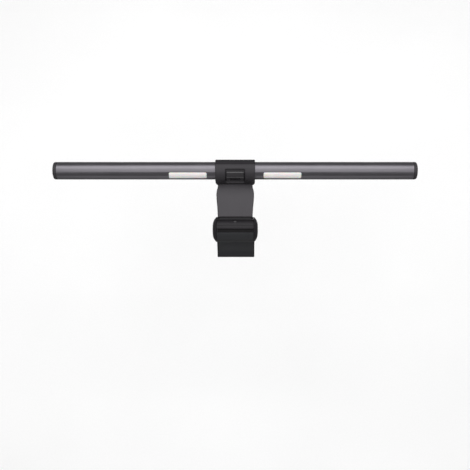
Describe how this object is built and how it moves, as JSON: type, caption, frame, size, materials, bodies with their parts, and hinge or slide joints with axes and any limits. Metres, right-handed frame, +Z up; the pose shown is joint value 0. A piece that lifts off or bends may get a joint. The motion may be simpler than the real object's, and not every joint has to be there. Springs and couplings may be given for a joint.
{
  "type": "monitor light bar",
  "caption": "Slim round light bar that tilts in a collar, on an arm that rests on a monitor's top edge, with a sprung counterweight leg that closes on its back.",
  "frame": {"origin": "middle of the underside of the pad that rests on the monitor's top edge", "axes": "+X along the lamp to the right hand of somebody behind the monitor's front, +Y from the screen towards the wall behind it, +Z up"},
  "size_m": [0.5, 0.111, 0.1356],
  "materials": {
    "anodised": "anodised satin dark grey",
    "shell": "fine-grained moulded plastic, near black",
    "arm_shell": "fine-grained moulded plastic, charcoal",
    "hinge_shell": "smooth moulded plastic, near black",
    "leg_shell": "satin moulded plastic, near black",
    "leg_panel": "smooth satin cover, faintly blue black",
    "casting": "black powder-coated die casting",
    "plate": "black powder-coated steel plate",
    "diffuser": "milky translucent diffuser",
    "rubber": "soft matt rubber",
    "board": "glass-fibre circuit board with solder mask",
    "aluminium": "plain milled",
    "steel": "plain zinc-plated",
    "nylon": "natural nylon",
    "lead": "insulated wire"
  },
  "bodies": {
    "clamp": {"collar_housing": "shell", "collar_front_cover": "shell", "hinge_pin": "steel", "cover_screw": "steel", "left_torsion_spring": "steel", "right_torsion_spring": "steel", "collar_screw_front_left": "steel", "collar_screw_front_right": "steel", "collar_screw_back_left": "steel", "collar_screw_back_right": "steel", "arm_screw_front_left": "steel", "arm_screw_front_right": "steel", "arm_screw_back_left": "steel", "arm_screw_back_right": "steel", "arm_liner": "hinge_shell", "spring_cover": "hinge_shell", "left_hinge_cap": "hinge_shell", "right_hinge_cap": "hinge_shell", "left_friction_bush": "nylon", "right_friction_bush": "nylon", "left_hinge_washer": "nylon", "right_hinge_washer": "nylon", "spring_mandrel": "nylon", "arm_cover": "arm_shell", "arm_frame": "casting", "lip_bracket": "plate", "lip_pad": "rubber", "top_pad": "rubber"},
    "lamp": {"lamp_tube": "anodised", "left_end_cap": "shell", "right_end_cap": "shell", "main_diffuser": "diffuser", "led_carrier": "aluminium", "main_led_board": "board", "reflector": "aluminium", "driver_board": "board", "wireless_board": "board", "power_lead": "lead", "signal_lead": "lead", "left_back_diffuser": "diffuser", "right_back_diffuser": "diffuser", "left_back_led_board": "board", "right_back_led_board": "board", "usb_c_receptacle": "steel", "port_board": "board", "port_surround": "hinge_shell"},
    "leg": {"leg_shell": "leg_shell", "leg_rear_panel": "leg_panel", "counterweight": "steel", "leg_pad": "rubber", "leg_screw_left": "steel", "leg_screw_right": "steel"}
  },
  "joints": [
    {"name": "lamp_tilt", "type": "hinge", "parent": "clamp", "child": "lamp", "pos_m": [0, -0.0361, 0.021], "axis": [1, 0, 0], "range_deg": [-15, 15]},
    {"name": "leg_hinge", "type": "hinge", "parent": "clamp", "child": "leg", "pos_m": [0, 0.0395, -0.01], "axis": [1, 0, 0], "range_deg": [-11, 18.5], "stiffness_Nm_per_rad": 0.3, "springref_deg": -28.65, "deforming": ["left_torsion_spring", "right_torsion_spring"]}
  ]
}
